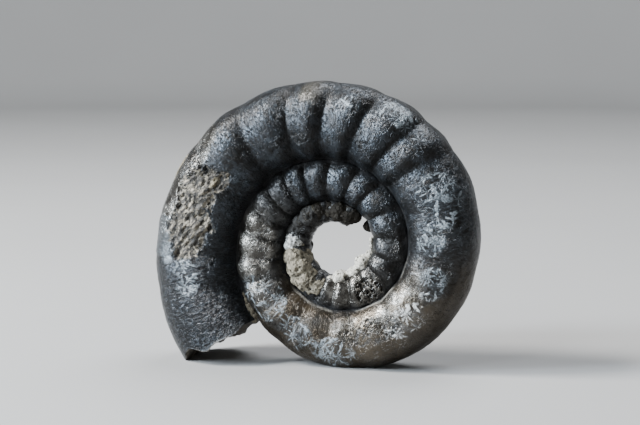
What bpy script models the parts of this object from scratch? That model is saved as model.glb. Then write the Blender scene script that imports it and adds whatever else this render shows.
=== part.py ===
"""A pyritized ammonite: a coiled fossil shell, worn and broken, that stands on its outer whorl.

The shell is one tube that grows along a spiral in the XZ plane. A growth angle, in degrees, says
how far along the spiral a place lies: 360 degrees is one whorl. The front faces -Y.
"""
import math
import random

import bmesh
import bpy
from mathutils import Vector

MM = 0.001

# The coil
END_RADIUS = 40.6 * MM          # from the pole of the coil to its outer edge at the broken end
END_ANGLE = 220.5               # growth angle of the broken end
START_ANGLE = -662.0            # growth angle where the innermost shell is lost
GROWTH = 0.566                  # natural log of the growth in radius over one whorl
GROWTH_EASING = -0.023          # how that growth changes from whorl to whorl
SWAY = 0.030                    # the coil is this share wider on one side of its pole
SWAY_ANGLE = -42.0
SEAT = 0.955                    # each whorl sits this share of the way out on the whorl inside it
WIDTH_RATIO = 1.0               # thickness of a whorl as a share of its height
SQUARENESS = 2.2                # 2 is an ellipse, more is squarer
RING_POINTS = 16                # points around one section of the tube

# The ribs, given by the narrow grooves between them
GROOVE_ANGLES = (
    -640, -620, -600, -580, -560, -541, -522, -503, -484, -466, -449, -430, -411, -392, -373,
    -351, -327, -305, -287, -266, -247, -232, -217, -202, -186, -169,
    -153, -135, -115, -92, -73, -50, -26, -5, 20, 43, 58, 76, 93, 109, 129, 150, 167, 183, 199,
)
RIB_STEPS = (0.0, 0.17, 0.5, 0.83)   # places of the sections between one groove and the next
BURIED_STEPS = (0.0, 0.5)       # the same where lumps of rock cover the shell
BURIED_TO = -500.0
RIB_ROUNDNESS = 0.7             # under 1 makes broad ribs with narrow grooves
RIB_LEAN = 4.0                  # degrees by which the outer end of a rib lags, and the inner end leads
RIB_ON_EDGE = 0.25              # share of the relief that is left along the outer edge
BOLD_RIB = 0.85 * MM            # relief on the upper part of the last whorl
PLAIN_RIB = 0.45 * MM           # relief on the rest of the last whorl
INNER_RIB = 0.70 * MM           # relief on the whorl inside it
BOLD_FROM = 40.0
BOLD_TO = 140.0
INNER_FROM = -153.0

# The broken end
BREAK_JAG = 1.3                 # degrees by which the edge of the break wanders
BREAK_BULGE = 1.8               # degrees by which the break reaches further along the flanks
FOOT_REACH = 2.8                # degrees by which it reaches further along the outer edge
BREAK_HOLLOW = 1.6 * MM         # how deep the break dishes in
BREAK_RIM = 0.66                # size of the dished part as a share of the section

# The worn patch on the front flank, where the shell is gone and the rough filling shows
PATCH_ANGLE = 167.0
PATCH_REACH = 20.0              # half its length, in degrees of growth
PATCH_DEPTH = 0.55 * MM
PATCH_ROUGHNESS = 0.25 * MM

# The flat spot that it rests on
REST_HEIGHT = -24.4 * MM        # height of the resting plane below the pole of the coil
BLOCK_SIZE = 120.0 * MM

# Lumps of rock left in the middle: angle about the pole, radius, place along Y, size, in mm
LUMPS = (
    (248, 9.2, -1.6, 2.2), (232, 9.0, -1.4, 2.7), (214, 8.5, -1.5, 2.8), (197, 8.2, -1.2, 2.8),
    (178, 8.2, -1.0, 2.7), (162, 8.2, -1.5, 2.3), (146, 7.9, -1.2, 2.5), (130, 7.6, -1.3, 2.4),
    (113, 7.3, -1.1, 2.3), (96, 7.0, -1.0, 2.2), (80, 6.7, -0.9, 2.2), (64, 6.5, -0.9, 2.2),
    (263, 7.2, -1.0, 1.3), (279, 6.9, -0.9, 1.5), (295, 6.6, -0.7, 1.7), (312, 6.7, -0.5, 1.4),
    (328, 7.0, -0.4, 1.6), (345, 7.8, -0.2, 1.2),
    (222, 8.4, 1.5, 2.5), (188, 7.9, 1.4, 2.6), (155, 7.7, 1.3, 2.5), (122, 7.2, 1.2, 2.2),
    (88, 6.7, 1.0, 2.1), (287, 7.1, 0.9, 1.4), (320, 7.0, 0.8, 1.4),
)
LUMP_DETAIL = 2                 # subdivisions of each lump's sphere
LUMP_ROUGHNESS = 0.13           # how far its points stray, as a share of its size


def remove_everything():
    """Clears the scene of whatever it starts with."""
    for thing in list(bpy.data.objects):
        bpy.data.objects.remove(thing, do_unlink=True)


def new_collection(name):
    """A collection linked to the scene."""
    collection = bpy.data.collections.new(name)
    bpy.context.scene.collection.children.link(collection)
    return collection


def pyrite_material():
    """Steel-blue pyrite: dark, half metallic and satin."""
    material = bpy.data.materials.new("pyrite")
    material.use_nodes = True
    shader = material.node_tree.nodes["Principled BSDF"]
    shader.inputs["Base Color"].default_value = (0.10, 0.12, 0.14, 1.0)
    shader.inputs["Roughness"].default_value = 0.42
    shader.inputs["Metallic"].default_value = 0.6
    return material


def venter_radius(growth):
    """Distance of the shell's outer edge from the pole at a growth angle."""
    whorls = (growth - END_ANGLE) / 360.0
    spiral = END_RADIUS * math.exp(GROWTH * whorls + GROWTH_EASING * whorls ** 2)
    return spiral * (1.0 + SWAY * math.cos(math.radians(growth - SWAY_ANGLE)))


def rib_relief(growth):
    """Full height of the ribs at a growth angle."""
    if growth < INNER_FROM:
        size = venter_radius(growth) / venter_radius(INNER_FROM)
        return INNER_RIB * size
    rise = min(1.0, max(0.0, (growth - BOLD_FROM + 15.0) / 30.0))
    fall = min(1.0, max(0.0, (BOLD_TO + 15.0 - growth) / 30.0))
    return PLAIN_RIB + (BOLD_RIB - PLAIN_RIB) * rise * fall


def section_places():
    """Growth angles of the sections, each with its height between groove (0) and rib (1)."""
    edges = [START_ANGLE, *GROOVE_ANGLES, END_ANGLE]
    places = []
    for groove, following in zip(edges, edges[1:]):
        steps = BURIED_STEPS if groove < BURIED_TO else RIB_STEPS
        for step in steps:
            height = math.sin(math.pi * step) ** RIB_ROUNDNESS
            places.append((groove + step * (following - groove), height))
    places.append((END_ANGLE, 0.5))
    return places


def signed_power(value, exponent):
    """A power that keeps the sign of its base."""
    return math.copysign(abs(value) ** exponent, value)


def patch_sink(growth, turn, chance):
    """How far the worn patch lies below the flank, for one point of a section."""
    along = abs(growth - PATCH_ANGLE) / PATCH_REACH
    front = -math.sin(turn) - 0.2 + 0.25 * math.cos(turn)
    if along > 1.0 or front <= 0.0:
        return 0.0
    fade = min(1.0, 3.0 * (1.0 - along)) * min(1.0, 2.0 * front)
    return fade * (PATCH_DEPTH + chance.uniform(-PATCH_ROUGHNESS, PATCH_ROUGHNESS))


def whorl_point(growth, turn, swell):
    """A point of the tube. turn goes round the section from the outer edge (0) to the inner (pi)."""
    growth_here = growth - RIB_LEAN * math.cos(turn)
    outer = venter_radius(growth_here)
    inner = SEAT * venter_radius(growth_here - 360.0)
    across = signed_power(math.cos(turn), 2.0 / SQUARENESS)
    sideways = signed_power(math.sin(turn), 2.0 / SQUARENESS)
    half_height = (outer - inner) / 2.0
    radius = (outer + inner) / 2.0 + (half_height + swell) * across
    depth = (half_height * WIDTH_RATIO + swell) * sideways
    angle = math.radians(growth_here)
    return Vector((radius * math.cos(angle), depth, radius * math.sin(angle)))


def broken_edge(turn, chance):
    """How much further than END_ANGLE the shell reaches at one point of the break, in degrees."""
    flanks = BREAK_BULGE * math.sin(turn) ** 2
    foot = FOOT_REACH * max(0.0, math.cos(turn)) ** 6
    return flanks + foot + chance.uniform(-BREAK_JAG, BREAK_JAG) * abs(math.sin(turn))


def add_section(mesh, growth, height, chance, broken=False):
    """Adds one section of the tube and returns its vertices."""
    ring = []
    for step in range(RING_POINTS):
        turn = 2.0 * math.pi * step / RING_POINTS
        on_flank = RIB_ON_EDGE + (1.0 - RIB_ON_EDGE) * abs(math.sin(turn))
        swell = rib_relief(growth) * on_flank * (height - 0.7)
        swell -= patch_sink(growth, turn, chance)
        place = growth + (broken_edge(turn, chance) if broken else 0.0)
        ring.append(mesh.verts.new(whorl_point(place, turn, swell)))
    return ring


def close_with_dish(mesh, ring, hollow, chance):
    """Closes the end of the tube with a broken surface that dishes in along -Y x radius."""
    middle = sum((vertex.co for vertex in ring), Vector()) / len(ring)
    inward = Vector((middle.z, 0.0, -middle.x)).normalized()
    inner = []
    for vertex in ring:
        spot = middle.lerp(vertex.co, BREAK_RIM)
        spot += inward * hollow * chance.uniform(0.3, 1.0)
        inner.append(mesh.verts.new(spot))
    centre = mesh.verts.new(middle + inward * hollow)
    count = len(ring)
    for step in range(count):
        following = (step + 1) % count
        mesh.faces.new((ring[step], ring[following], inner[following], inner[step]))
        mesh.faces.new((inner[step], inner[following], centre))


def make_coil(collection, material):
    """The whole coiled tube, from the lost middle to the broken end."""
    chance = random.Random(7)
    mesh = bmesh.new()
    places = section_places()
    rings = []
    for growth, height in places[:-1]:
        rings.append(add_section(mesh, growth, height, chance))
    growth, height = places[-1]
    rings.append(add_section(mesh, growth, height, chance, broken=True))
    for ring, following in zip(rings, rings[1:]):
        for step in range(RING_POINTS):
            beside = (step + 1) % RING_POINTS
            mesh.faces.new((ring[step], ring[beside], following[beside], following[step]))
    mesh.faces.new(rings[0])
    close_with_dish(mesh, rings[-1], BREAK_HOLLOW, chance)
    bmesh.ops.triangulate(mesh, faces=mesh.faces)
    bmesh.ops.recalc_face_normals(mesh, faces=mesh.faces)
    data = bpy.data.meshes.new("ammonite")
    mesh.to_mesh(data)
    mesh.free()
    data.materials.append(material)
    coil = bpy.data.objects.new("ammonite", data)
    collection.objects.link(coil)
    return coil


def make_lumps(collection):
    """The lumps of rock that still fill the middle of the coil, as one cutter-like solid."""
    chance = random.Random(21)
    mesh = bmesh.new()
    for angle, radius, depth, size in LUMPS:
        made = bmesh.ops.create_icosphere(mesh, subdivisions=LUMP_DETAIL, radius=size * MM)
        around = math.radians(angle)
        place = Vector((radius * MM * math.cos(around), depth * MM, radius * MM * math.sin(around)))
        for vertex in made["verts"]:
            stray = 1.0 + chance.uniform(-LUMP_ROUGHNESS, LUMP_ROUGHNESS)
            vertex.co = place + vertex.co * stray
    data = bpy.data.meshes.new("rock_lumps")
    mesh.to_mesh(data)
    mesh.free()
    lumps = bpy.data.objects.new("rock_lumps", data)
    collection.objects.link(lumps)
    hide_as_cutter(lumps)
    return lumps


def make_rest_block(collection):
    """A block whose top is the resting plane: it cuts the small flat spots."""
    bpy.ops.mesh.primitive_cube_add(size=BLOCK_SIZE)
    block = bpy.context.active_object
    block.name = "rest_block"
    block.location = (0.0, 0.0, REST_HEIGHT - BLOCK_SIZE / 2.0)
    for owner in list(block.users_collection):
        owner.objects.unlink(block)
    collection.objects.link(block)
    hide_as_cutter(block)
    return block


def hide_as_cutter(thing):
    """Marks an object that only shapes another one."""
    thing.hide_render = True
    thing.display_type = "WIRE"


def add_boolean(target, other, operation, own_overlaps):
    """Joins or cuts the target with another object."""
    modifier = target.modifiers.new(operation.lower() + "_" + other.name, "BOOLEAN")
    modifier.operation = operation
    modifier.object = other
    modifier.solver = "EXACT"
    modifier.use_self = own_overlaps


def stand_on_origin(things, measured):
    """Moves everything so that the measured object stands centred on the origin."""
    bpy.context.view_layer.update()
    evaluated = measured.evaluated_get(bpy.context.evaluated_depsgraph_get())
    corners = [evaluated.matrix_world @ vertex.co for vertex in evaluated.data.vertices]
    lowest = [min(corner[axis] for corner in corners) for axis in range(3)]
    highest = [max(corner[axis] for corner in corners) for axis in range(3)]
    shift = Vector((-(lowest[0] + highest[0]) / 2.0, -(lowest[1] + highest[1]) / 2.0, -lowest[2]))
    for thing in things:
        thing.location += shift
    print("pole of the coil at", [round(value * 1000.0, 2) for value in shift], "mm")


def main():
    remove_everything()
    parts = new_collection("pyritized_ammonite")
    cutters = new_collection("cutters")
    ammonite = make_coil(parts, pyrite_material())
    lumps = make_lumps(cutters)
    block = make_rest_block(cutters)
    add_boolean(ammonite, lumps, "UNION", True)
    add_boolean(ammonite, block, "DIFFERENCE", False)
    stand_on_origin([ammonite, lumps, block], ammonite)


main()
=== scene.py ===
# %% [markdown]
# # A pyritized ammonite
# This lesson dresses the plain solid of a coiled fossil shell. The real object is one piece of
# stone: a shell turned to pyrite, its worn and pitted flank, frost-like sutures, and crumbs of
# rock in the open middle. The solid keeps the sizes. Here its skin gets its fine relief and finish.
# Each step is a cell. A cell like this one says what comes next, and why it is made that way.

# %% Load the solid, which sets the frame
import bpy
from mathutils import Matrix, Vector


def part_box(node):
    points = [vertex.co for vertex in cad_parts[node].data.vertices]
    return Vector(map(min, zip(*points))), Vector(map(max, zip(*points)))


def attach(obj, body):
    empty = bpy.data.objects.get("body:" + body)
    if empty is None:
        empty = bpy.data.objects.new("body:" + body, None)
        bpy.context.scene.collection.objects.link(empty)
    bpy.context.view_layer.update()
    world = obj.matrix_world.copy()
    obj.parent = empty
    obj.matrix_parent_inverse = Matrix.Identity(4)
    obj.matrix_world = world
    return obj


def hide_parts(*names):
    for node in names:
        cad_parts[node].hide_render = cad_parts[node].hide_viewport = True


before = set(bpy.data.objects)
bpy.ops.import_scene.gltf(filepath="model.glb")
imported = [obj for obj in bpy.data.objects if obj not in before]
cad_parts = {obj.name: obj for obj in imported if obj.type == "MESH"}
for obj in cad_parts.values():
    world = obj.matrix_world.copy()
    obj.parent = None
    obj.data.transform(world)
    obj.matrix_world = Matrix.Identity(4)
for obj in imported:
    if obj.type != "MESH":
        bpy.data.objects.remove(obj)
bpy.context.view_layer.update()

# %% Other modules and units
import math
from types import SimpleNamespace

import bmesh
import bpy
import numpy as np
from mathutils import Vector

MM = 0.001
PALE = (0.62, 0.61, 0.60)

# %% [markdown]
# ## The coil as a formula
# An ammonite grows along a spiral in one plane. A growth angle in degrees says how far along a
# place lies, and one whorl is 360 of them. These are the driving sizes of the solid, repeated,
# because the skin has to lie on it.

# %% Driving sizes of the coil
END_RADIUS = 40.6 * MM          # from the pole of the coil to its outer edge at the broken end
END_ANGLE = 220.5               # growth angle of the broken end
START_ANGLE = -662.0            # growth angle where the innermost shell is lost
GROWTH = 0.566                  # natural log of the growth in radius over one whorl
GROWTH_EASING = -0.023          # how that growth changes from whorl to whorl
SWAY = 0.030                    # the coil is this share wider on one side of its pole
SWAY_ANGLE = -42.0
SEAT = 0.955                    # each whorl sits this share of the way out on the one inside it
SQUARENESS = 2.2                # 2 is an ellipse, more is squarer
REST_HEIGHT = -24.4 * MM        # height of the floor below the pole of the coil
GROOVE_ANGLES = (
    -662, -640, -620, -600, -580, -560, -541, -522, -503, -484, -466, -449, -430, -411, -392,
    -373, -351, -327, -305, -287, -266, -247, -232, -217, -202, -186, -169,
    -153, -135, -115, -92, -73, -50, -26, -5, 20, 43, 58, 76, 93, 109, 129, 150, 167, 183, 199,
    221, 240,
)
RIB_LEAN = 4.0                  # degrees by which the outer end of a rib lags


# %% The spiral and its sections
def venter_radius(growth):
    """Distance of the outer edge from the pole of the coil."""
    whorls = (growth - END_ANGLE) / 360.0
    spiral = END_RADIUS * np.exp(GROWTH * whorls + GROWTH_EASING * whorls ** 2)
    return spiral * (1.0 + SWAY * np.cos(np.radians(growth - SWAY_ANGLE)))


def middle_and_half(growth):
    """Radius of the middle of a section, and half its height."""
    outer = venter_radius(growth)
    inner = SEAT * venter_radius(growth - 360.0)
    return (outer + inner) / 2.0, (outer - inner) / 2.0


def section(growth, turn):
    """Radius and depth of a point. turn is 0 on the outer edge, pi on the inner one."""
    middle, half = middle_and_half(growth)
    across = np.sign(np.cos(turn)) * np.abs(np.cos(turn)) ** (2.0 / SQUARENESS)
    sideways = np.sign(np.sin(turn)) * np.abs(np.sin(turn)) ** (2.0 / SQUARENESS)
    return middle + half * across, half * sideways


def in_space(growth, turn):
    """The same points in the coil's own X, Y and Z."""
    radius, depth = section(growth, turn)
    angle = np.radians(growth)
    return np.stack([radius * np.cos(angle), depth, radius * np.sin(angle)], axis=-1)


around_once = np.linspace(END_ANGLE - 360.0, END_ANGLE, 721)
widest = (venter_radius(around_once) * np.cos(np.radians(around_once))).max()
POLE = np.array([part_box("ammonite")[1][0] - widest, 0.0, -REST_HEIGHT])
print("pole of the coil, mm:", np.round(POLE * 1000, 2))

# %% [markdown]
# ## The camera and the light
# The photograph looks at the front flank from 15 degrees to the right and 8 degrees above, through
# a long lens. The camera stands where those angles put it, and looks a little past the shell, so
# that the shell lies where it does in the picture. The light is plain: satin metal shows the shape
# of its lamps, so a tall strip stands at the left, and each rib catches it as one long highlight.
# A smaller lamp above it lights the upper edge, weak ones fill the rest, and one hangs behind.

# %% Camera
IMAGE_WIDTH = 640
LENS = 100.0
SENSOR = 36.0
PIXEL = 0.2 * MM                                   # size of one pixel of the picture at the shell
AZIMUTH = math.radians(15.0)
ELEVATION = math.radians(8.0)
AIM_FROM_POLE = Vector((1.0, 0.0, -0.47)) * MM     # the place that lies at AIM_PIXEL
AIM_PIXEL = (341.0, 246.0)
IMAGE_MIDDLE = (320.0, 212.5)


def add_camera():
    """Places the camera and makes it the scene's own."""
    away = Vector((math.sin(AZIMUTH) * math.cos(ELEVATION),
                   -math.cos(AZIMUTH) * math.cos(ELEVATION), math.sin(ELEVATION)))
    right = Vector((math.cos(AZIMUTH), math.sin(AZIMUTH), 0.0))
    up = away.cross(right)
    distance = PIXEL * IMAGE_WIDTH * LENS / SENSOR
    subject = Vector(POLE) + AIM_FROM_POLE
    aim = subject - right * (AIM_PIXEL[0] - IMAGE_MIDDLE[0]) * PIXEL
    aim += up * (AIM_PIXEL[1] - IMAGE_MIDDLE[1]) * PIXEL
    data = bpy.data.cameras.new("camera")
    data.lens = LENS
    data.sensor_width = SENSOR
    data.clip_start = 0.01
    camera = bpy.data.objects.new("camera", data)
    camera.location = subject + away * distance
    camera.rotation_euler = (aim - camera.location).to_track_quat("-Z", "Y").to_euler()
    bpy.context.scene.collection.objects.link(camera)
    bpy.context.scene.camera = camera
    print("camera", round(distance * 1000), "mm away")


add_camera()


# %% Lamps and surroundings
def add_lamp(name, place, width, height, power, colour):
    """A flat soft lamp that faces the shell."""
    data = bpy.data.lights.new(name, "AREA")
    data.shape = "RECTANGLE"
    data.size = width
    data.size_y = height
    data.energy = power
    data.color = colour
    lamp = bpy.data.objects.new(name, data)
    lamp.location = place
    lamp.rotation_euler = (Vector(POLE) - lamp.location).to_track_quat("-Z", "Y").to_euler()
    bpy.context.scene.collection.objects.link(lamp)


LAMPS = (
    ("strip_lamp", (-0.56, -0.36, 0.27), 0.14, 0.50, 20.0, (0.80, 0.90, 1.0)),
    ("key_lamp", (-0.46, -0.16, 0.56), 0.16, 0.16, 18.0, (1.0, 0.99, 0.97)),
    ("sky_lamp", (-0.19, -0.49, 0.48), 0.16, 0.16, 2.5, (0.82, 0.92, 1.0)),
    ("fill_lamp", (0.50, -0.60, 0.35), 0.50, 0.50, 0.6, (1.0, 0.96, 0.90)),
    ("back_lamp", (0.10, 0.30, 0.70), 0.50, 0.50, 10.0, (0.93, 0.96, 1.0)),
)           # name, place, width and height in metres, power in watts, and colour
for lamp_facts in LAMPS:
    add_lamp(*lamp_facts)

WORLD_STRENGTH = 0.08
world = bpy.data.worlds.new("studio")
world.use_nodes = True
sky = world.node_tree.nodes["Background"].inputs
sky["Color"].default_value = (*PALE, 1.0)
sky["Strength"].default_value = WORLD_STRENGTH
bpy.context.scene.world = world
print(len(LAMPS), "lamps")

# %% [markdown]
# ## Sums in node trees
# Materials and Geometry Nodes are both made of nodes. One small class wraps a socket, so that a
# Python sum on wires adds the Math nodes, and one method adds any other node.


# %% Wires
def operator(name, swapped=False):
    """A Python operator that adds a Math node, with its two sides swapped if asked."""
    def method(self, other):
        return self.sum(name, other, self) if swapped else self.sum(name, self, other)
    return method


class Wire:
    """A socket that can be used in Python sums."""

    def __init__(self, tree, socket):
        self.tree = tree
        self.socket = socket

    def sum(self, name, *values):
        """Adds one Math node."""
        return self.tree.node("ShaderNodeMath", {"operation": name}, dict(enumerate(values)))

    __add__ = operator("ADD")
    __radd__ = operator("ADD", swapped=True)
    __sub__ = operator("SUBTRACT")
    __rsub__ = operator("SUBTRACT", swapped=True)
    __mul__ = operator("MULTIPLY")
    __rmul__ = operator("MULTIPLY", swapped=True)
    __truediv__ = operator("DIVIDE")
    __pow__ = operator("POWER")
    less_than = operator("LESS_THAN")       # 1 where it is less, else 0
    at_least = operator("MAXIMUM")          # the larger of the two
    at_most = operator("MINIMUM")           # the smaller of the two

    def __abs__(self):
        return self.sum("ABSOLUTE", self)

    def sin(self):
        """Sine of an angle in radians."""
        return self.sum("SINE", self)

    def cos(self):
        """Cosine of an angle in radians."""
        return self.sum("COSINE", self)

    def fraction(self):
        """What is left after the whole number."""
        return self.sum("FRACT", self)

    def ramp(self, low, high):
        """Goes smoothly from 0 at low to 1 at high."""
        settings = {"interpolation_type": "SMOOTHSTEP", "clamp": True}
        values = {"Value": self, "From Min": low, "From Max": high, "To Min": 0.0, "To Max": 1.0}
        return self.tree.node("ShaderNodeMapRange", settings, values)

    def fall(self, low, high):
        """Goes smoothly from 1 at low to 0 at high."""
        return 1.0 - self.ramp(low, high)

    def window(self, start, full, fade, end):
        """Rises from 0 to 1 between the first two values, and falls back between the others."""
        return self.ramp(start, full) * self.fall(fade, end)

    def frayed(self, noise, amount, low, high):
        """A mask whose edge wanders with a noise."""
        return (self + (noise - 0.5) * amount).ramp(low, high)


# %% Trees
class Tree:
    """Adds nodes to a node tree."""

    def __init__(self, nodes_of):
        self.tree = nodes_of

    @staticmethod
    def pick(sockets, key):
        """A socket by its number, or the first one in use with that name."""
        if isinstance(key, int):
            return sockets[key]
        return next(socket for socket in sockets if socket.name == key and socket.enabled)

    def node(self, kind, settings=None, values=None, out=None):
        """Adds a node, and puts values, wires or lists of wires into its sockets."""
        node = self.tree.nodes.new(kind)
        for name, value in (settings or {}).items():
            setattr(node, name, value)
        for key, value in (values or {}).items():
            socket = self.pick(node.inputs, key)
            for part in value if isinstance(value, list) else [value]:
                if isinstance(part, Wire):
                    self.tree.links.new(part.socket, socket)
                else:
                    socket.default_value = part
        outputs = [socket for socket in node.outputs if socket.enabled]
        if out is not None:
            return Wire(self, self.pick(node.outputs, out))
        return Wire(self, outputs[0]) if outputs else node

    def vector(self, operation, *values):
        """Adds a Vector Math node."""
        return self.node("ShaderNodeVectorMath", {"operation": operation}, dict(enumerate(values)))

    def scaled(self, vector, factor):
        """A vector times a number."""
        return self.node("ShaderNodeVectorMath", {"operation": "SCALE"}, {0: vector, "Scale": factor})

    def noise(self, place, scale, detail=3.0, roughness=0.5, distortion=0.0):
        """Noise from 0 to 1, with its bumps about one over scale apart."""
        values = {"Vector": place, "Scale": scale, "Detail": detail,
                  "Roughness": roughness, "Distortion": distortion}
        return self.node("ShaderNodeTexNoise", {}, values)

    def cells(self, place, scale):
        """Distance to the nearest of many scattered points."""
        return self.node("ShaderNodeTexVoronoi", {}, {"Vector": place, "Scale": scale}, "Distance")


# %% [markdown]
# ## The bare skin of the coil
# The whorls of the solid sink a little into each other. A skin shouldn't: it should run over the
# flank of one whorl down to the seam, and up the flank of the next. So the seam is worked out
# first, as the place where two neighbouring sections cross, and the rows of the net run from seam
# to seam. Only the last whorl has rows right over its outer edge.

# %% Where neighbouring whorls meet
COLUMNS_PER_WHORL = 720
FLANK_ROWS = 80
VENTER_ROWS = 40
DORSAL_ROWS = 24


def half_width(growth, radius):
    """Half the thickness of a whorl at a radius, and 0 beyond its outer edge."""
    middle, half = middle_and_half(growth)
    share = np.clip(np.abs(radius - middle) / half, 0.0, 1.0)
    return half * (1.0 - share ** SQUARENESS) ** (1.0 / SQUARENESS)


def inner_seam(growth):
    """The turn at which a whorl's flank meets the whorl inside it, found by halving."""
    low = np.full_like(growth, math.pi / 2)
    high = np.full_like(growth, math.pi)
    for _ in range(40):
        middle = (low + high) / 2
        radius, depth = section(growth, middle)
        free = depth > half_width(growth - 360.0, radius)
        low = np.where(free, middle, low)
        high = np.where(free, high, middle)
    return low


def outer_seam(growth):
    """The turn at which a whorl goes under the next one."""
    radius, _ = section(growth + 360.0, inner_seam(growth + 360.0))
    middle, half = middle_and_half(growth)
    return np.arccos(np.clip((radius - middle) / half, 0.0, 1.0) ** (SQUARENESS / 2))


seam_steps = np.linspace(START_ANGLE - 20.0, END_ANGLE + 20.0, 3000)
inner_turns = inner_seam(seam_steps)
outer_turns = outer_seam(seam_steps)
print("a flank runs from", np.degrees(inner_turns[-1]).round(), "to",
      np.degrees(outer_turns[-1]).round(), "degrees around its section")


# %% How far the broken edge reaches
BREAK_BULGE = 1.8               # degrees by which the break reaches further along the flanks
FOOT_REACH = 2.8                # degrees by which it reaches further along the outer edge
BREAK_JAG = 1.0                 # degrees by which the edge of the break wanders
JAG_CORNERS = ((34, 1.0), (120, 0.35))      # corners around the edge, and their share of the jag
CALM_TURN = math.radians(160.0)             # the edge is smooth further in than this
NOTCH = 2.6                     # degrees by which the front is chipped
NOTCH_TURN = -1.05
NOTCH_WIDTH = 0.38


def smooth(value):
    """Goes smoothly from 0 to 1 as its input does."""
    value = np.clip(value, 0.0, 1.0)
    return value * value * (3.0 - 2.0 * value)


def break_profile(turn):
    """How much further than END_ANGLE the shell reaches at the break, in degrees."""
    chance = np.random.default_rng(5)
    lean = -RIB_LEAN * np.cos(turn)
    flanks = BREAK_BULGE * np.sin(turn) ** 2
    foot = FOOT_REACH * np.maximum(0.0, np.cos(turn)) ** 6
    notch = NOTCH * np.exp(-((turn - NOTCH_TURN) / NOTCH_WIDTH) ** 2)
    jag = 0.0
    for corners, share in JAG_CORNERS:
        knots = np.linspace(-math.pi, math.pi, corners)
        jag = jag + share * np.interp(turn, knots, chance.uniform(-1.0, 1.0, corners))
    calm = smooth((CALM_TURN - np.abs(turn)) / 0.3)
    return lean + flanks + foot - notch + jag * BREAK_JAG * calm


# %% Rows and columns of the net
BREAK_RAMP = 45.0                       # degrees over which the columns lean to the broken edge
FOLLOW_RAMP = 60.0                      # degrees over which the whorl inside stops following
FRONT_EDGE = FLANK_ROWS                 # the row at which the front flank ends
BACK_EDGE = FLANK_ROWS + VENTER_ROWS    # the row at which the back flank starts


def row_shares():
    """How far along its part each row lies, from 0 to 1: for a flank, and for the outer edge."""
    flank = np.linspace(0.0, 1.0, FLANK_ROWS + 1)
    venter = np.linspace(0.0, 1.0, VENTER_ROWS + 1)[1:-1]
    return flank, venter


def net_turns(growth):
    """Turn of every row for each growth angle, from the front seam over the edge to the back."""
    flank, venter = row_shares()
    inner = np.interp(growth, seam_steps, inner_turns)
    outer = np.interp(growth, seam_steps, outer_turns)
    front = inner[:, :FRONT_EDGE + 1] * (1 - flank) + outer[:, :FRONT_EDGE + 1] * flank
    over = outer[:, FRONT_EDGE + 1:BACK_EDGE] * (2 * venter - 1)
    back = outer[:, BACK_EDGE:] * (1 - flank) + inner[:, BACK_EDGE:] * flank
    return np.concatenate([-front, over, back], axis=1)


def leaning_growth(columns):
    """Growth angle of every point. The last columns lean over to the broken edge, and the whorl
    inside them follows, because both share the points of the seam."""
    flat = np.repeat(columns[:, None], BACK_EDGE + FLANK_ROWS + 1, axis=1)
    profile = break_profile(net_turns(flat)[-1])
    lean = smooth((columns - (END_ANGLE - BREAK_RAMP)) / BREAK_RAMP)
    follow = smooth((columns + 360.0 - (END_ANGLE - BREAK_RAMP)) / BREAK_RAMP)
    last_whorl = columns[-1 - COLUMNS_PER_WHORL:]
    follow[-1 - COLUMNS_PER_WHORL:] = 1 - smooth((last_whorl - last_whorl[0]) / FOLLOW_RAMP)
    flank, venter = row_shares()
    reach = np.concatenate([flank, np.ones(len(venter)), flank[::-1]])
    return flat + lean[:, None] * profile + (profile[0] * follow)[:, None] * reach


# %% The net
CAP_RINGS = 26
BREAK_HOLLOW = 1.6 * MM
START_HOLLOW = 0.3 * MM


class Net:
    """Points, each with its growth angle, turn and break share, and the faces between them."""

    def __init__(self):
        self.points = np.empty((0, 6))
        self.faces = []

    def add(self, places, growth, turn, broken):
        """Adds points, and returns their numbers."""
        first = len(self.points)
        facts = [np.broadcast_to(fact, len(places)) for fact in (growth, turn, broken)]
        self.points = np.concatenate([self.points, np.column_stack([places, *facts])])
        return np.arange(first, len(self.points))

    def add_grid(self, growth, turn):
        """Adds a grid of points on the coil, and returns the grid of their numbers."""
        places = in_space(growth, turn).reshape(-1, 3)
        return self.add(places, growth.ravel(), turn.ravel(), 0.0).reshape(growth.shape)

    def weave(self, grid):
        """Adds the faces of a grid of point numbers."""
        corners = [grid[:-1, :-1], grid[:-1, 1:], grid[1:, 1:], grid[1:, :-1]]
        self.faces.append(np.stack(corners, axis=-1).reshape(-1, 4))

    def close(self, loop, inward, hollow):
        """Closes a loop of point numbers with a dish, ring by ring from the edge inwards."""
        edge, growth, turn = self.points[loop, :3], self.points[loop, 3], self.points[loop, 4]
        centre = edge.mean(axis=0)
        grid = [np.append(loop, loop[0])]
        for step in range(1, CAP_RINGS):
            share = step / CAP_RINGS
            depth = hollow * smooth(np.array(2.2 * share))
            ring = self.add(edge + (centre - edge) * share + inward * depth, growth, turn, 1.0)
            grid.append(np.append(ring, ring[0]))
        self.weave(np.array(grid))
        middle = self.add((centre + inward * hollow)[None, :], growth[:1], 0.0, 1.0)
        middle = np.repeat(middle, len(loop))
        self.faces.append(np.stack([grid[-1][:-1], grid[-1][1:], middle, middle], axis=-1))


def heading(growth):
    """The direction in which the shell grows at a growth angle."""
    angle = math.radians(growth)
    return np.array([-math.sin(angle), 0.0, math.cos(angle)])


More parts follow.
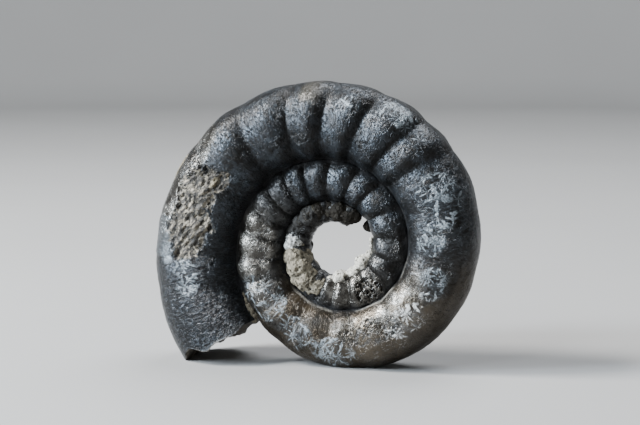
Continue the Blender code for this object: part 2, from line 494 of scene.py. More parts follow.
def make_net():
    """The net of the whole skin: both flanks, the outer edge, the inside and both ends."""
    step = 360.0 / COLUMNS_PER_WHORL
    count = int(round((END_ANGLE - START_ANGLE) / step))
    columns = END_ANGLE - step * np.arange(count, -1, -1)
    growth = leaning_growth(columns)
    net = Net()
    index = net.add_grid(growth, net_turns(growth))
    index[COLUMNS_PER_WHORL:, 0] = index[:-COLUMNS_PER_WHORL, FRONT_EDGE]
    index[COLUMNS_PER_WHORL:, -1] = index[:-COLUMNS_PER_WHORL, BACK_EDGE]
    last_whorl = index[-1 - COLUMNS_PER_WHORL:]
    net.weave(index[:, :FRONT_EDGE + 1])
    net.weave(index[:, BACK_EDGE:])
    net.weave(last_whorl[:, FRONT_EDGE:BACK_EDGE + 1])

    first = columns[:COLUMNS_PER_WHORL + 1]
    share = np.linspace(0.0, 1.0, DORSAL_ROWS + 1)[None, 1:-1]
    seam = np.interp(first, seam_steps, inner_turns)[:, None]
    dorsal_growth = np.repeat(first[:, None], DORSAL_ROWS - 1, axis=1)
    dorsal = net.add_grid(dorsal_growth, seam + (2 * math.pi - 2 * seam) * share)
    net.weave(np.concatenate([index[:len(first), -1:], dorsal, index[:len(first), :1]], axis=1))

    over = last_whorl[0, FRONT_EDGE + 1:BACK_EDGE][::-1]
    net.close(np.concatenate([index[-1], over]), -heading(END_ANGLE), BREAK_HOLLOW)
    front = index[0, :FRONT_EDGE + 1][::-1]
    back = index[0, BACK_EDGE:][::-1]
    start_loop = np.concatenate([front, dorsal[0][::-1], back, dorsal[-1]])
    net.close(start_loop, heading(START_ANGLE), START_HOLLOW)
    return net


# %% Make the net a mesh
def new_piece(name, mesh):
    """An object at the origin, linked to the scene."""
    piece = bpy.data.objects.new(name, mesh)
    bpy.context.scene.collection.objects.link(piece)
    return piece


def store(mesh, name, values):
    """Keeps one number for each point of a mesh."""
    layer = mesh.attributes.new(name, "FLOAT", "POINT")
    layer.data.foreach_set("value", np.asarray(values, dtype=np.float32))


def rib_phase(growth, turn):
    """Place between one groove (0) and the next (1), with the ribs leaning back."""
    leaning = growth + RIB_LEAN * np.cos(turn)
    numbers = np.arange(len(GROOVE_ANGLES))
    return np.interp(leaning, GROOVE_ANGLES, numbers) % 1.0


def skin_mesh(net):
    """The bare coil as a closed mesh with its growth, turn, rib phase and break share."""
    quads = np.concatenate(net.faces)
    used = np.unique(quads)
    renumber = np.full(len(net.points), -1)
    renumber[used] = np.arange(len(used))
    faces = [tuple(dict.fromkeys(face)) for face in renumber[quads].tolist()]
    places, (growth, turn, broken) = net.points[used, :3], net.points[used, 3:].T
    mesh = bpy.data.meshes.new("skin")
    mesh.from_pydata((places + POLE).tolist(), [], faces)
    mesh.update()
    turn = (turn + math.pi) % (2 * math.pi) - math.pi
    store(mesh, "growth", growth)
    store(mesh, "turn", turn)
    store(mesh, "phase", rib_phase(growth, turn))
    store(mesh, "broken", broken)
    return mesh


shell = new_piece("ammonite_skin", skin_mesh(make_net()))
check = bmesh.new()
check.from_mesh(shell.data)
open_edges = sum(1 for edge in check.edges if not edge.is_manifold)
print("net:", len(check.verts), "points, open edges:", open_edges,
      "volume, cubic cm:", round(check.calc_volume(signed=True) * 1e6, 2))
check.free()


# %% [markdown]
# ## Where the surface differs
# Pyrite replaced this shell unevenly, and wear did the rest. The silver marks are partly brighter
# pyrite and partly painted sheen where the light falls. Each kind of mark is a short list of
# places, read from the photograph: growth angle, height on the flank (0 at the inner seam, 1 at
# the outer edge), half its length in degrees, half its height, and its strength where that isn't
# 1. Nobody sees the back in the photograph, so it gets the common marks again, moved and weaker.

# %% Places of the marks
MARKS = {
    "worn": ((160, 0.56, 13, 0.24), (172, 0.52, 11, 0.25), (180, 0.50, 7, 0.20),
             (150, 0.38, 6, 0.10)),
    "cratered": ((-409, 0.60, 14, 0.37),),
    "smooth_shell": ((178, 0.82, 7, 0.22),),
    "ochre": ((156, 0.985, 7, 0.055, 0.75), (152, 0.44, 3, 0.05)),
    "pitted": ((-190, 0.40, 12, 0.16, 0.55), (-172, 0.38, 14, 0.18, 0.5),
               (-150, 0.40, 12, 0.20, 0.55), (-62, 0.42, 20, 0.22, 0.8), (-236, 0.45, 8, 0.3),
               (108, 0.33, 10, 0.09), (150, 0.88, 9, 0.13, 0.8), (-470, 0.55, 12, 0.3)),
    "frost": ((24, 0.60, 13, 0.30), (5, 0.40, 8, 0.20), (61, 0.86, 12, 0.12),
              (80, 0.80, 5, 0.08), (-17, 0.52, 9, 0.20), (-42, 0.52, 13, 0.22),
              (-88, 0.66, 12, 0.24), (-112, 0.55, 12, 0.28), (-138, 0.50, 14, 0.36),
              (-152, 0.70, 8, 0.25), (193, 0.50, 10, 0.24, 0.55), (187, 0.74, 5, 0.10, 0.5)),
    # silver patches are partly brighter pyrite and partly painted sheen where the light falls
    "silver": ((-178, 0.60, 26, 0.45), (-150, 0.70, 12, 0.35), (-45, 0.28, 26, 0.26),
               (-70, 0.30, 18, 0.2), (-425, 0.45, 32, 0.5), (146, 0.88, 11, 0.15),
               (165, 0.88, 12, 0.16), (-22, 0.17, 4, 0.08), (-440, 0.3, 20, 0.4)),
    "stained": ((-45, 0.72, 22, 0.20), (-66, 0.62, 14, 0.24), (-116, 0.06, 16, 0.14),
                (97, 0.88, 5, 0.16), (-20, 0.92, 14, 0.10)),
}
FRONT_ONLY = ("worn", "cratered", "smooth_shell", "ochre")
BACK_SHIFT = 47.0               # degrees by which the marks of the back are moved
BACK_SHARE = 0.75


def covered(places, growth, rise):
    """1 in the middle of the places, about a half at their rims, 0 outside."""
    best = np.zeros(len(growth))
    for angle, height, length, tall, *strength in places:
        distance = np.hypot((growth - angle) / length, (rise - height) / tall)
        best = np.maximum(best, np.exp(-0.7 * distance ** 4) * (strength or [1.0])[0])
    return best


def points_of(mesh, name):
    """The numbers that a mesh keeps on its points."""
    values = np.empty(len(mesh.vertices), dtype=np.float32)
    mesh.attributes[name].data.foreach_get("value", values)
    return values


def places_of(mesh):
    """The points of a mesh, in metres."""
    places = np.empty(len(mesh.vertices) * 3, dtype=np.float32)
    mesh.vertices.foreach_get("co", places)
    return places.reshape(-1, 3)


# %% Keep the marks on the mesh
def mark_surface(mesh):
    """Keeps the marks on the mesh, and how far each point lies from the nearest seam."""
    growth = points_of(mesh, "growth")
    turn = points_of(mesh, "turn")
    place = places_of(mesh) - POLE
    radius = np.hypot(place[:, 0], place[:, 2])
    seam = np.interp(growth, seam_steps, inner_turns)
    seam_radius, _ = section(growth, seam)
    rise = (radius - seam_radius) / (venter_radius(growth) - seam_radius)
    middle, half = middle_and_half(growth)
    store(mesh, "rise", rise)
    store(mesh, "along", np.radians(growth) * middle)
    store(mesh, "across", half * turn)

    outer = np.interp(growth, seam_steps, outer_turns)
    from_outer = np.abs(np.abs(turn) - outer) * half
    from_inner = np.abs(seam - np.abs(turn)) * half
    nothing_near = 1.0
    from_outer = np.where(growth > END_ANGLE - 360.0, nothing_near, from_outer)
    from_inner = np.where(growth < START_ANGLE + 360.0, nothing_near, from_inner)
    store(mesh, "from_seam", np.minimum(from_inner, from_outer))

    front = smooth((0.38 - np.sin(turn)) / 0.5)
    front_alone = smooth(-np.sin(turn) / 0.45)
    for name, places in MARKS.items():
        if name in FRONT_ONLY:
            mask = covered(places, growth, rise) * front_alone
        else:
            behind = covered(places, growth + BACK_SHIFT, rise) * BACK_SHARE
            mask = covered(places, growth, rise) * front + behind * (1.0 - front)
        store(mesh, name, mask)
        print(name, "covers", round(float((mask > 0.5).mean()) * 100, 1), "% of the points")


mark_surface(shell.data)

# %% [markdown]
# ## The relief of the skin
# Narrow grooves part broad rounded ribs, which are strongest along the top and knobbed further in.
# The shell is a little dented all over, its worn patch is sunk and pitted, and its broken end is
# rough. All of it follows rules, so a Geometry Nodes tree does it: the relief is a sum of heights,
# and each point moves along its normal.


# %% Start a geometry tree
def geometry_tree(name, inputs):
    """A new tree with its inputs. Returns its helper, and a wire for each input by name."""
    group = bpy.data.node_groups.new(name, "GeometryNodeTree")
    group.interface.new_socket("Geometry", in_out="INPUT", socket_type="NodeSocketGeometry")
    for label, value in inputs.items():
        kind = "NodeSocketMaterial" if label == "Material" else "NodeSocketFloat"
        socket = group.interface.new_socket(label, in_out="INPUT", socket_type=kind)
        if label != "Material":
            socket.default_value = value
    group.interface.new_socket("Geometry", in_out="OUTPUT", socket_type="NodeSocketGeometry")
    helper = Tree(group)
    start = group.nodes.new("NodeGroupInput")
    wires = {socket.name: Wire(helper, socket) for socket in start.outputs if socket.name}
    return helper, wires


def finish_tree(tree, geometry, material):
    """Ends a tree with Realize Instances and Set Material."""
    real = tree.node("GeometryNodeRealizeInstances", {}, {"Geometry": geometry})
    done = tree.node("GeometryNodeSetMaterial", {}, {"Geometry": real, "Material": material})
    tree.node("NodeGroupOutput", {}, {0: done})
    return tree.tree


def add_tree(piece, group, values):
    """Gives a piece the tree as a modifier and sets its inputs."""
    modifier = piece.modifiers.new(group.name, "NODES")
    modifier.node_group = group
    for item in group.interface.items_tree:
        if item.in_out == "INPUT" and item.name in values:
            modifier[item.identifier] = values[item.name]


def bake_modifiers(piece):
    """Turns a piece and its modifiers into a plain mesh."""
    graph = bpy.context.evaluated_depsgraph_get()
    graph.update()
    mesh = bpy.data.meshes.new_from_object(
        piece.evaluated_get(graph), preserve_all_data_layers=True, depsgraph=graph)
    piece.modifiers.clear()
    piece.data = mesh
    faces = sum(len(face.vertices) - 2 for face in mesh.polygons)
    print(piece.name, "has", faces, "triangles")


# %% Sizes of the relief
SKIN_INPUTS = {
    "Bold Rib": 1.55 * MM, "Plain Rib": 0.50 * MM, "Inner Rib": 1.05 * MM,
    "Rib Roundness": 0.92, "Rib Skew": 0.12, "Rib On Edge": 0.14,
    "Dent Height": 0.45 * MM, "Lump Height": 0.22 * MM, "Grain Height": 0.10 * MM,
    "Patch Depth": 0.40 * MM, "Pit Depth": 0.75 * MM, "Small Pit Depth": 0.30 * MM,
    "Break Roughness": 0.9 * MM, "Ledge Height": 0.16 * MM, "Material": None,
}
BOLD_RIBS = (25.0, 55.0, 133.0, 163.0)          # growth angles: starts, is full, fades, is gone
CALM_RIBS = (-242.0, -222.0, -168.0, -148.0)    # the same for the stretch that is worn low
INNER_FROM = -153.0                             # further in than this the ribs have knobs
KNOB_SHARE = 0.22
CALM_SHARE = 0.28
RIB_LEVEL = 0.60                        # share of a rib's height that lies below the bare skin
PIT_SLANT = 50.0                        # direction in degrees in which the pits run
PIT_SQUEEZE = (0.45, 1.0, 1.0)
SKIN_TRIANGLES = 190000


# %% Ribs and other patterns in height
def point_number(tree, name):
    """A number that is kept on the points, for a geometry tree."""
    return tree.node("GeometryNodeInputNamedAttribute", {"data_type": "FLOAT"}, {"Name": name}, 0)


def slanting(tree, place):
    """Places turned and squeezed, so that noise on them is drawn out slantwise."""
    turned = tree.node("ShaderNodeVectorRotate", {"rotation_type": "Y_AXIS"},
                       {"Vector": place, "Angle": math.radians(PIT_SLANT)})
    return tree.vector("MULTIPLY", turned, PIT_SQUEEZE)


def cavities(tree, place, low, high):
    """Winding hollows with thin ridges between them: 1 in a hollow, 0 on a ridge."""
    bent = tree.node("ShaderNodeTexNoise", {}, {"Vector": place, "Scale": 700.0}, 1)
    bent = tree.vector("ADD", place, tree.scaled(bent, 1.2 * MM))
    return abs(tree.noise(bent, 650.0, 2.0, 0.5) - 0.5).ramp(low, high)


def rib_height(tree, given, growth):
    """How far the ribs lift the skin."""
    bold = growth.window(*BOLD_RIBS)
    rib = given["Plain Rib"] + (given["Bold Rib"] - given["Plain Rib"]) * bold
    whorls = (growth - INNER_FROM) / 360.0
    shrunk = growth.sum("EXPONENT", whorls * GROWTH)
    inner = growth.less_than(INNER_FROM)
    rib = rib * (1.0 - inner) + given["Inner Rib"] * shrunk * inner

    clear = (0.25 + 0.75 * bold).at_least(inner)
    phase = point_number(tree, "phase")
    leant = phase + (phase * math.pi).sin() * given["Rib Skew"] * clear
    shape = (leant * math.pi).sin().at_least(0.0)
    shape = shape ** (given["Rib Roundness"] + (1.0 - clear) * 0.7) - RIB_LEVEL
    sideways = abs(point_number(tree, "turn").sin())
    on_flank = given["Rib On Edge"] + (1.0 - given["Rib On Edge"]) * sideways
    knobs = 1.0 + KNOB_SHARE * point_number(tree, "rise").ramp(0.55, 0.95) * inner
    knobs = knobs * (1.0 - CALM_SHARE * growth.window(*CALM_RIBS))
    return rib * on_flank * shape * knobs


# %% The tree of the skin
def skin_tree():
    """Adds ribs, dents, the worn patch, pits and the rough break to the bare skin."""
    tree, given = geometry_tree("skin_relief", SKIN_INPUTS)
    place = tree.node("GeometryNodeInputPosition")
    normal = tree.node("GeometryNodeInputNormal", {}, {}, 0)
    relief = rib_height(tree, given, point_number(tree, "growth"))
    for scale, detail, name in ((70.0, 1.0, "Dent Height"), (330.0, 2.0, "Lump Height"),
                                (1300.0, 2.0, "Grain Height")):
        relief = relief + (tree.noise(place, scale, detail) - 0.5) * given[name]

    ragged = tree.noise(place, 420.0, 3.0)
    fringe = tree.noise(place, 1150.0, 2.0)
    slanted = slanting(tree, place)
    pits = tree.noise(slanted, 1400.0, 2.0, 0.55).fall(0.36, 0.52)
    hollows = tree.noise(slanted, 820.0, 2.0, 0.6).ramp(0.34, 0.66)
    worn = point_number(tree, "worn") + (ragged - 0.5) * 1.3 + (fringe - 0.5) * 1.1
    worn = worn.ramp(0.40, 0.66)
    sunk = given["Patch Depth"] + given["Pit Depth"] * (pits * 0.6 + hollows * 0.7 - 0.2)
    relief = relief - worn * sunk
    small_pits = tree.cells(place, 800.0).fall(0.08, 0.34)
    pitted = point_number(tree, "pitted").frayed(ragged, 0.9, 0.35, 0.6)
    relief = relief - pitted * small_pits * given["Small Pit Depth"]
    cratered = point_number(tree, "cratered").frayed(ragged, 0.8, 0.40, 0.55)
    craters = cavities(tree, place, 0.01, 0.10)
    relief = relief - cratered * (0.1 * MM + craters * given["Pit Depth"])
    ledge = point_number(tree, "smooth_shell").frayed(ragged, 0.8, 0.42, 0.50)
    relief = relief + ledge * given["Ledge Height"]

    broken = point_number(tree, "broken")
    crags = (tree.noise(place, 420.0, 4.0, 0.6) - 0.5) * given["Break Roughness"]
    relief = relief * point_number(tree, "from_seam").ramp(-0.1 * MM, 0.9 * MM)
    relief = relief * (1.0 - broken) + crags * broken
    target = tree.vector("ADD", place, tree.scaled(normal, relief))
    lowest = tree.node("ShaderNodeCombineXYZ", {}, {0: -1.0, 1: -1.0, 2: 0.0})
    target = tree.vector("MAXIMUM", target, lowest)         # nothing goes below the floor
    skin = tree.node("GeometryNodeSetPosition", {},
                     {"Geometry": given["Geometry"], "Position": target})
    masks = {"worn": worn, "pitted": pitted, "cratered": cratered, "smooth_shell": ledge}
    for name, mask in masks.items():
        skin = tree.node("GeometryNodeStoreNamedAttribute",
                         {"data_type": "FLOAT", "domain": "POINT"},
                         {"Geometry": skin, "Name": name, "Value": mask})
    skin = tree.node("GeometryNodeSetShadeSmooth", {}, {"Geometry": skin, "Shade Smooth": True})
    return finish_tree(tree, skin, given["Material"])


# %% [markdown]
# ## The finish of the shell
# Pyrite that has stood long in the air is a satin, bluish steel grey, not gold. The finish is one
# material, built as a painter would: dark steel first, then thin layers over it, each with a mask
# that says where it lies. The masks come from noise and from the numbers kept on the points.


# %% Helpers for materials
def new_material(name):
    """A material with its helper, its shader and its place on the object."""
    material = bpy.data.materials.new(name)
    material.use_nodes = True
    tree = Tree(material.node_tree)
    shader = material.node_tree.nodes["Principled BSDF"]
    place = tree.node("ShaderNodeTexCoord", {}, {}, "Object")
    return material, tree, shader, place


def kept_number(tree, name):
    """A number that is kept on the points, for a material."""
    return tree.node("ShaderNodeAttribute", {"attribute_name": name}, {}, "Fac")


def blend(tree, share, first, second):
    """Goes from the first colour to the second as share goes from 0 to 1."""
    first, second = (tint if isinstance(tint, Wire) else (*tint, 1.0) for tint in (first, second))
    return tree.node("ShaderNodeMix", {"data_type": "RGBA"}, {0: share, 6: first, 7: second}, 2)


def painted(tree, tint, layers):
    """Lays colours over each other. Each layer has a share from 0 to 1, and a colour."""
    for share, layer in layers:
        tint = blend(tree, share, tint, layer)
    return tint


def connect(tree, shader, name, wire):
    """Feeds a wire into the shader."""
    tree.tree.links.new(wire.socket, shader.inputs[name])


def add_bump(tree, shader, patterns):
    """Makes the surface look uneven: each pattern comes with its height in millimetres."""
    height = sum(pattern * (tall * MM) for pattern, tall in patterns)
    bump = tree.node("ShaderNodeBump", {}, {"Strength": 1.0, "Distance": 1.0, "Height": height})
    connect(tree, shader, "Normal", bump)


# %% [markdown]
# ## Frost ferns
# Where the chamber walls met the shell, their edges show as pale branching ferns. Real ones are
# lines that fork again and again. Here each fern is a star with straight arms and with twigs at
# both sides of each arm, drawn by sums around scattered points, on a plane that noise has bent.

# %% Shape of a fern
LARGE_FERN = {"size": 6.4 * MM, "arms": 5.0, "twig_gap": 1.35 * MM, "half_width": 0.27 * MM,
              "bend": 1.0}
SMALL_FERN = {"size": 3.4 * MM, "arms": 7.0, "twig_gap": 0.80 * MM, "half_width": 0.14 * MM,
              "bend": 0.8}
SMALL_FERN_SHIFT = (0.31, 0.0, 0.17)
FERN_SCATTER = 0.85


def bent_plane(tree, place, bend):
    """Places in the plane of the coil, pushed about by noise."""
    flat = tree.vector("MULTIPLY", place, (1.0, 0.0, 1.0))
    for scale, push in ((260.0, 3.4 * MM), (1000.0, 0.7 * MM)):
        wobble = tree.node("ShaderNodeTexNoise", {}, {"Vector": flat, "Scale": scale}, 1)
        wobble = tree.vector("SUBTRACT", wobble, (0.5, 0.5, 0.5))
        flat = tree.vector("ADD", flat, tree.scaled(wobble, push * bend))
    return tree.vector("MULTIPLY", flat, (1.0, 0.0, 1.0))


def ferns(tree, place, size, arms, twig_gap, half_width, bend):
    """Branching stars in the plane of the coil: 1 on a twig, 0 beside it."""
    flat = bent_plane(tree, place, bend)
    values = {"Vector": flat, "Scale": 1.0 / size, "Randomness": FERN_SCATTER}
    middle = tree.node("ShaderNodeTexVoronoi", {}, values, "Position")
    chance = tree.node("ShaderNodeTexVoronoi", {}, values, "Color")
    spin = tree.node("ShaderNodeSeparateColor", {}, {0: chance}, "Red")
    reach = tree.node("ShaderNodeSeparateColor", {}, {0: chance}, "Green")
    local = tree.vector("SUBTRACT", flat, middle)
    side = tree.node("ShaderNodeSeparateXYZ", {}, {0: local}, "X")
    up = tree.node("ShaderNodeSeparateXYZ", {}, {0: local}, "Z")
    away = tree.node("ShaderNodeVectorMath", {"operation": "LENGTH"}, {0: local}, "Value")
    angle = up.sum("ARCTAN2", up, side) / (2 * math.pi) + spin
    swing = ((angle * arms).fraction() - 0.5) * (2 * math.pi / arms)
    out = away * swing.cos()
    off = abs(away * swing.sin())
    radius = size * (0.45 + 0.25 * reach)
    arm = off.fall(half_width * 0.8, half_width * 1.4)
    steps = (out - off * 0.8) / twig_gap
    twig = abs(steps.fraction() - 0.5).ramp(0.5 - half_width / twig_gap * 1.5,
                                            0.5 - half_width / twig_gap * 0.6)
    near = (off - (radius - out) * 0.5).fall(-0.25 * MM, 0.15 * MM)
    core = (away / radius).fall(0.0, 0.40) * tree.noise(flat, 1600.0, 2.0).ramp(0.42, 0.56)
    shape = arm.at_least(twig * near).at_least(core * 0.8)
    return shape * (away / radius).fall(0.9, 1.05)


# %% [markdown]
# ## Layers of the pyrite
# The steel is dark, and looks light only where a lamp shines in it. Clouds, streaks and specks of
# many sizes keep it from looking like plastic. Silvery areas that also carry painted sheen, stained
# and warm areas come next, then painted shade in the grooves and along the seams, a painted
# highlight along the inner seam, the damage, and the frost with its painted highlight last.

# %% Tones of the shell
tone = SimpleNamespace(         # red, green and blue, each from 0 to 1
    dark_steel=(0.009, 0.0082, 0.0074), mid_steel=(0.022, 0.023, 0.025),
    grey_shine=(0.088, 0.088, 0.086), blue_shine=(0.062, 0.076, 0.092),
    speck=(0.010, 0.009, 0.008), crease=(0.008, 0.007, 0.006), dot=(0.008, 0.007, 0.006),
    # the wrinkle tones are painted shade in the hollows of the wrinkles and a painted highlight on
    # their tops
    wrinkle=(0.009, 0.0085, 0.008), wrinkle_highlight=(0.135, 0.152, 0.168),
    # the last two tones on the next line are painted shade: in the grooves, on the rib sides away
    # from the light, and along the seams
    wide_end=(0.011, 0.012, 0.014), groove=(0.012, 0.0108, 0.0095), seam_shade=(0.018, 0.018, 0.019),
    # the second tone on the next line is partly brighter pyrite and partly painted sheen
    tarnish=(0.060, 0.053, 0.043), silver=(0.26, 0.247, 0.222),
    brown_stain=(0.040, 0.030, 0.019), olive_stain=(0.019, 0.0155, 0.0085),
    warm=(0.050, 0.036, 0.020), underside=(0.028, 0.0205, 0.0120),
    smooth_dark=(0.055, 0.062, 0.068), smooth_light=(0.15, 0.166, 0.178),
    # the next tone is a painted highlight along the inner seam
    seam_highlight=(0.34, 0.32, 0.28),
    dark_stone=(0.036, 0.029, 0.020), light_stone=(0.265, 0.232, 0.178),
    pit=(0.011, 0.009, 0.007), small_pit=(0.03, 0.03, 0.03), ridge=(0.125, 0.113, 0.096),
    dark_ochre=(0.13, 0.105, 0.062), light_ochre=(0.30, 0.25, 0.155),
    dark_break=(0.030, 0.025, 0.018), light_break=(0.125, 0.108, 0.084), lip=(0.20, 0.19, 0.17),
    # the last tone on the next line is the ferns' pale colour with a painted highlight
    haze=(0.100, 0.118, 0.135), fern=(0.24, 0.28, 0.31), lit_fern=(0.46, 0.465, 0.455),
)


# %% Where along the coil the finish changes
# Growth angles: where it starts and is full, and with four, where it also fades and is gone.
BLUE_OUTER = (-60.0, 40.0)
BLUE_INNER = (-360.0, -330.0, -240.0, -215.0)
# the painted shade of the grooves is strongest along here
DARK_GROOVES = (25.0, 55.0, 148.0, 173.0)
INNER_RIBS = (-163.0, -133.0)       # these are full further in, and gone further out
OLIVE_STAINS = (60.0, 80.0)
WARM = (-160.0, -125.0, -45.0, 5.0)
UNDERSIDE = (-165.0, -130.0, -30.0, 15.0)
# where the painted highlight along the inner seam lies
SEAM_HIGHLIGHT = (-140.0, -125.0, -30.0, 0.0)
# where the ferns carry a painted highlight
LIT_FERNS = (-85.0, -60.0, -32.0, -15.0)
WIDE_END = (184.0, 200.0)


# %% Patterns and masks that the layers share
PATTERNS = {"cloud": (160.0, 3.0, 0.6), "blotch": (420.0, 3.0, 0.6),
            "grain": (1250.0, 3.0, 0.65), "speck": (2600.0, 2.0, 0.6)}
KEPT_NAMES = ("along", "across", "rise", "growth", "phase", "from_seam", "worn", "pitted",
              "cratered", "smooth_shell", "broken", "frost")


def drawn_out(tree, skin, stretch):
    """Places on the skin, squeezed along the whorl, so that noise on them runs across it."""
    return tree.node("ShaderNodeCombineXYZ", {},
                     {0: skin.along * stretch, 1: skin.across, 2: skin.rise * 0.004})


def skin_patterns(tree, place):
    """Noise of several sizes and the kept numbers, by name."""
    skin = SimpleNamespace(**{name: kept_number(tree, name) for name in KEPT_NAMES})
    skin.back = kept_number(tree, "turn").ramp(-0.2, 0.2)
    for name, size_detail_roughness in PATTERNS.items():
        setattr(skin, name, tree.noise(place, *size_detail_roughness))
    skin.streak = tree.noise(drawn_out(tree, skin, 5.0), 520.0, 4.0, 0.65)
    folded = drawn_out(tree, skin, 1.7)
    crease = tree.noise(folded, 640.0, 3.0, 0.6, 0.3)
    skin.crease = abs(crease - 0.5).fall(0.0, 0.045) * skin.blotch.ramp(0.36, 0.56)
    skin.wrinkle = tree.noise(folded, 980.0, 2.0, 0.62)
    skin.slanted = slanting(tree, place)
    skin.pit = tree.noise(skin.slanted, 1750.0, 3.0, 0.65).fall(0.45, 0.53)
    skin.dot = tree.cells(place, 1000.0).fall(0.12, 0.24) * skin.cloud.ramp(0.44, 0.60)
    return skin


def add_masks(tree, skin, place):
    """Adds the masks that colour, metal and bump all use."""
    skin.wide_end = skin.growth.ramp(*WIDE_END)
    coarse = (skin.from_seam.fall(1.0 * MM, 5.5 * MM) * 0.35).at_least(skin.wide_end)
    skin.coarse = coarse * skin.cloud.ramp(0.25, 0.50) * (1.0 - skin.back * 0.5)
    # the mask of the silver patches, which are partly painted sheen
    skin.silver = kept_number(tree, "silver").frayed(skin.cloud, 1.0, 0.1, 0.9)
    skin.stained = kept_number(tree, "stained").frayed(skin.cloud, 1.4, 0.2, 1.1)
    ochre = kept_number(tree, "ochre") + (skin.cloud - 0.5) * 1.3 + (skin.grain - 0.5) * 0.8
    skin.ochre = ochre.ramp(0.30, 0.75)
    skin.under = skin.growth.window(*UNDERSIDE) * skin.rise.ramp(0.62, 0.98)
    # painted shade: the skin goes darker close to each seam, where the whorls meet
    skin.seam_shade = skin.from_seam.fall(0.1 * MM, 2.2 * MM)
    skin.ragged = tree.noise(place, 300.0, 2.0)
    field = skin.frost.frayed(skin.ragged, 0.7, 0.38, 0.6)
    large = ferns(tree, place, **LARGE_FERN)
    small = ferns(tree, tree.vector("ADD", place, SMALL_FERN_SHIFT), **SMALL_FERN)
    sparse = 0.25 + 0.75 * skin.speck.ramp(0.35, 0.55)
    skin.fern = large.at_least(small * 0.7) * field * sparse


# %% Steel and wear
def steel_layers(tree, skin):
    """Dark steel with a bluish shine on the outer whorl and along the top of the next."""
    blued = skin.growth.ramp(*BLUE_OUTER)
    blued = blued.at_least(skin.growth.window(*BLUE_INNER))
    shine = blend(tree, blued, tone.grey_shine, tone.blue_shine)
    tint = blend(tree, skin.cloud.ramp(0.35, 0.68), tone.dark_steel, tone.mid_steel)
    return painted(tree, tint, (
        (skin.streak.ramp(0.46, 0.68) * 0.35, shine),
        (skin.blotch.ramp(0.44, 0.62) * 0.40, shine),
        (skin.grain.ramp(0.50, 0.64) * 0.16, shine),
        (skin.speck.ramp(0.48, 0.60) * 0.26, tone.speck),
        (skin.crease * 0.6, tone.crease),
        # painted shade in the hollows of the wrinkles
        (skin.coarse * skin.wrinkle.fall(0.42, 0.56) * 0.8, tone.wrinkle),
        (skin.wide_end * (1.0 - skin.back) * 0.35, tone.wide_end),
        # painted highlight on the tops of the wrinkles
        (skin.wide_end * skin.wrinkle.ramp(0.54, 0.62) * 0.15, tone.wrinkle_highlight),
    ))


def rib_shade_share(skin):
    """Painted shade: the rib sides that turn away from the light, and the grooves, go dark."""
    ribbed = skin.growth.window(*DARK_GROOVES)
    ribbed = ribbed.at_least(skin.growth.fall(*INNER_RIBS))
    groove = (skin.phase * (1.0 - skin.phase) * 4.0).fall(0.0, 0.30)
    shaded = (skin.phase + (skin.blotch - 0.5) * 0.25).fall(0.10, 0.42) * 0.75
    return groove.at_least(shaded) * (0.15 + 0.65 * ribbed) * (0.6 + skin.streak * 0.6)


def wear_layers(tree, skin, place, tint):
    """Silver with painted sheen, stains, warm areas, painted shade in grooves and seams, a painted
    seam highlight.
    """
    silver = blend(tree, skin.blotch.ramp(0.40, 0.60), tone.tarnish, tone.silver)
    stain = blend(tree, skin.growth.ramp(*OLIVE_STAINS), tone.brown_stain, tone.olive_stain)
    warm = skin.growth.window(*WARM) * (1.0 - skin.back) * skin.cloud.ramp(0.30, 0.60)
    smooth_shell = blend(tree, skin.streak.ramp(0.40, 0.62), tone.smooth_dark, tone.smooth_light)
    # painted highlight: a pale line along the inner seam, where the light falls on its rim
    line = abs(skin.rise - 0.028).fall(0.006, 0.018) * skin.growth.window(*SEAM_HIGHLIGHT)
    line = line * tree.noise(place, 260.0, 2.0).ramp(0.42, 0.55)
    return painted(tree, tint, (
        (skin.silver * 0.52, silver),
        (skin.stained * 0.85, stain),
        (warm * 0.65, tone.warm),
        (skin.under * 0.8, tone.underside),
        # painted shade in the grooves and on the rib sides away from the light
        (rib_shade_share(skin), tone.groove),
        (skin.smooth_shell * 0.7, smooth_shell),
        # painted shade along the seams
        (skin.seam_shade * 0.85, tone.seam_shade),
        (line * (1.0 - skin.back) * 0.65, tone.seam_highlight),
    ))


# %% Damage and frost
def damage_layers(tree, skin, place, tint):
    """The worn patch, pits, craters, ochre, and the broken end with its paler lip."""
    stone = tree.noise(skin.slanted, 1100.0, 3.0, 0.6).ramp(0.36, 0.62)
    stone = blend(tree, stone, tone.dark_stone, tone.light_stone)
    stone = blend(tree, skin.pit * 0.92, stone, tone.pit)
    craters = blend(tree, cavities(tree, place, 0.006, 0.038), tone.ridge, tone.pit)
    ochre = blend(tree, skin.blotch.ramp(0.35, 0.60), tone.dark_ochre, tone.light_ochre)
    filling = blend(tree, skin.blotch.ramp(0.38, 0.62), tone.dark_break, tone.light_break)
    lip = (skin.broken * (1.0 - skin.broken) * 4.0) * skin.blotch.ramp(0.40, 0.60)
    return painted(tree, tint, (
        (skin.worn * 0.95, stone),
        (skin.pitted * skin.pit * 0.7, tone.small_pit),
        (skin.cratered * 0.9, craters),
        (skin.ochre * 0.75, ochre),
        (skin.dot * 0.85, tone.dot),
        (skin.broken * 0.9, filling),
        (lip * 0.6, tone.lip),
    ))


def frost_layers(tree, skin, tint):
    """A bluish haze, and ferns, painted whiter as a highlight at the bottom of the last whorl."""
    haze = skin.frost.frayed(skin.ragged, 0.9, 0.25, 0.9) * skin.streak.ramp(0.38, 0.72)
    # painted highlight: the ferns go whiter where the light falls at the bottom of the last whorl
    white = skin.growth.window(*LIT_FERNS)
    return painted(tree, tint, (
        (haze * 0.32, tone.haze),
        (skin.fern * (0.70 + 0.18 * white), blend(tree, white, tone.fern, tone.lit_fern)),
    ))


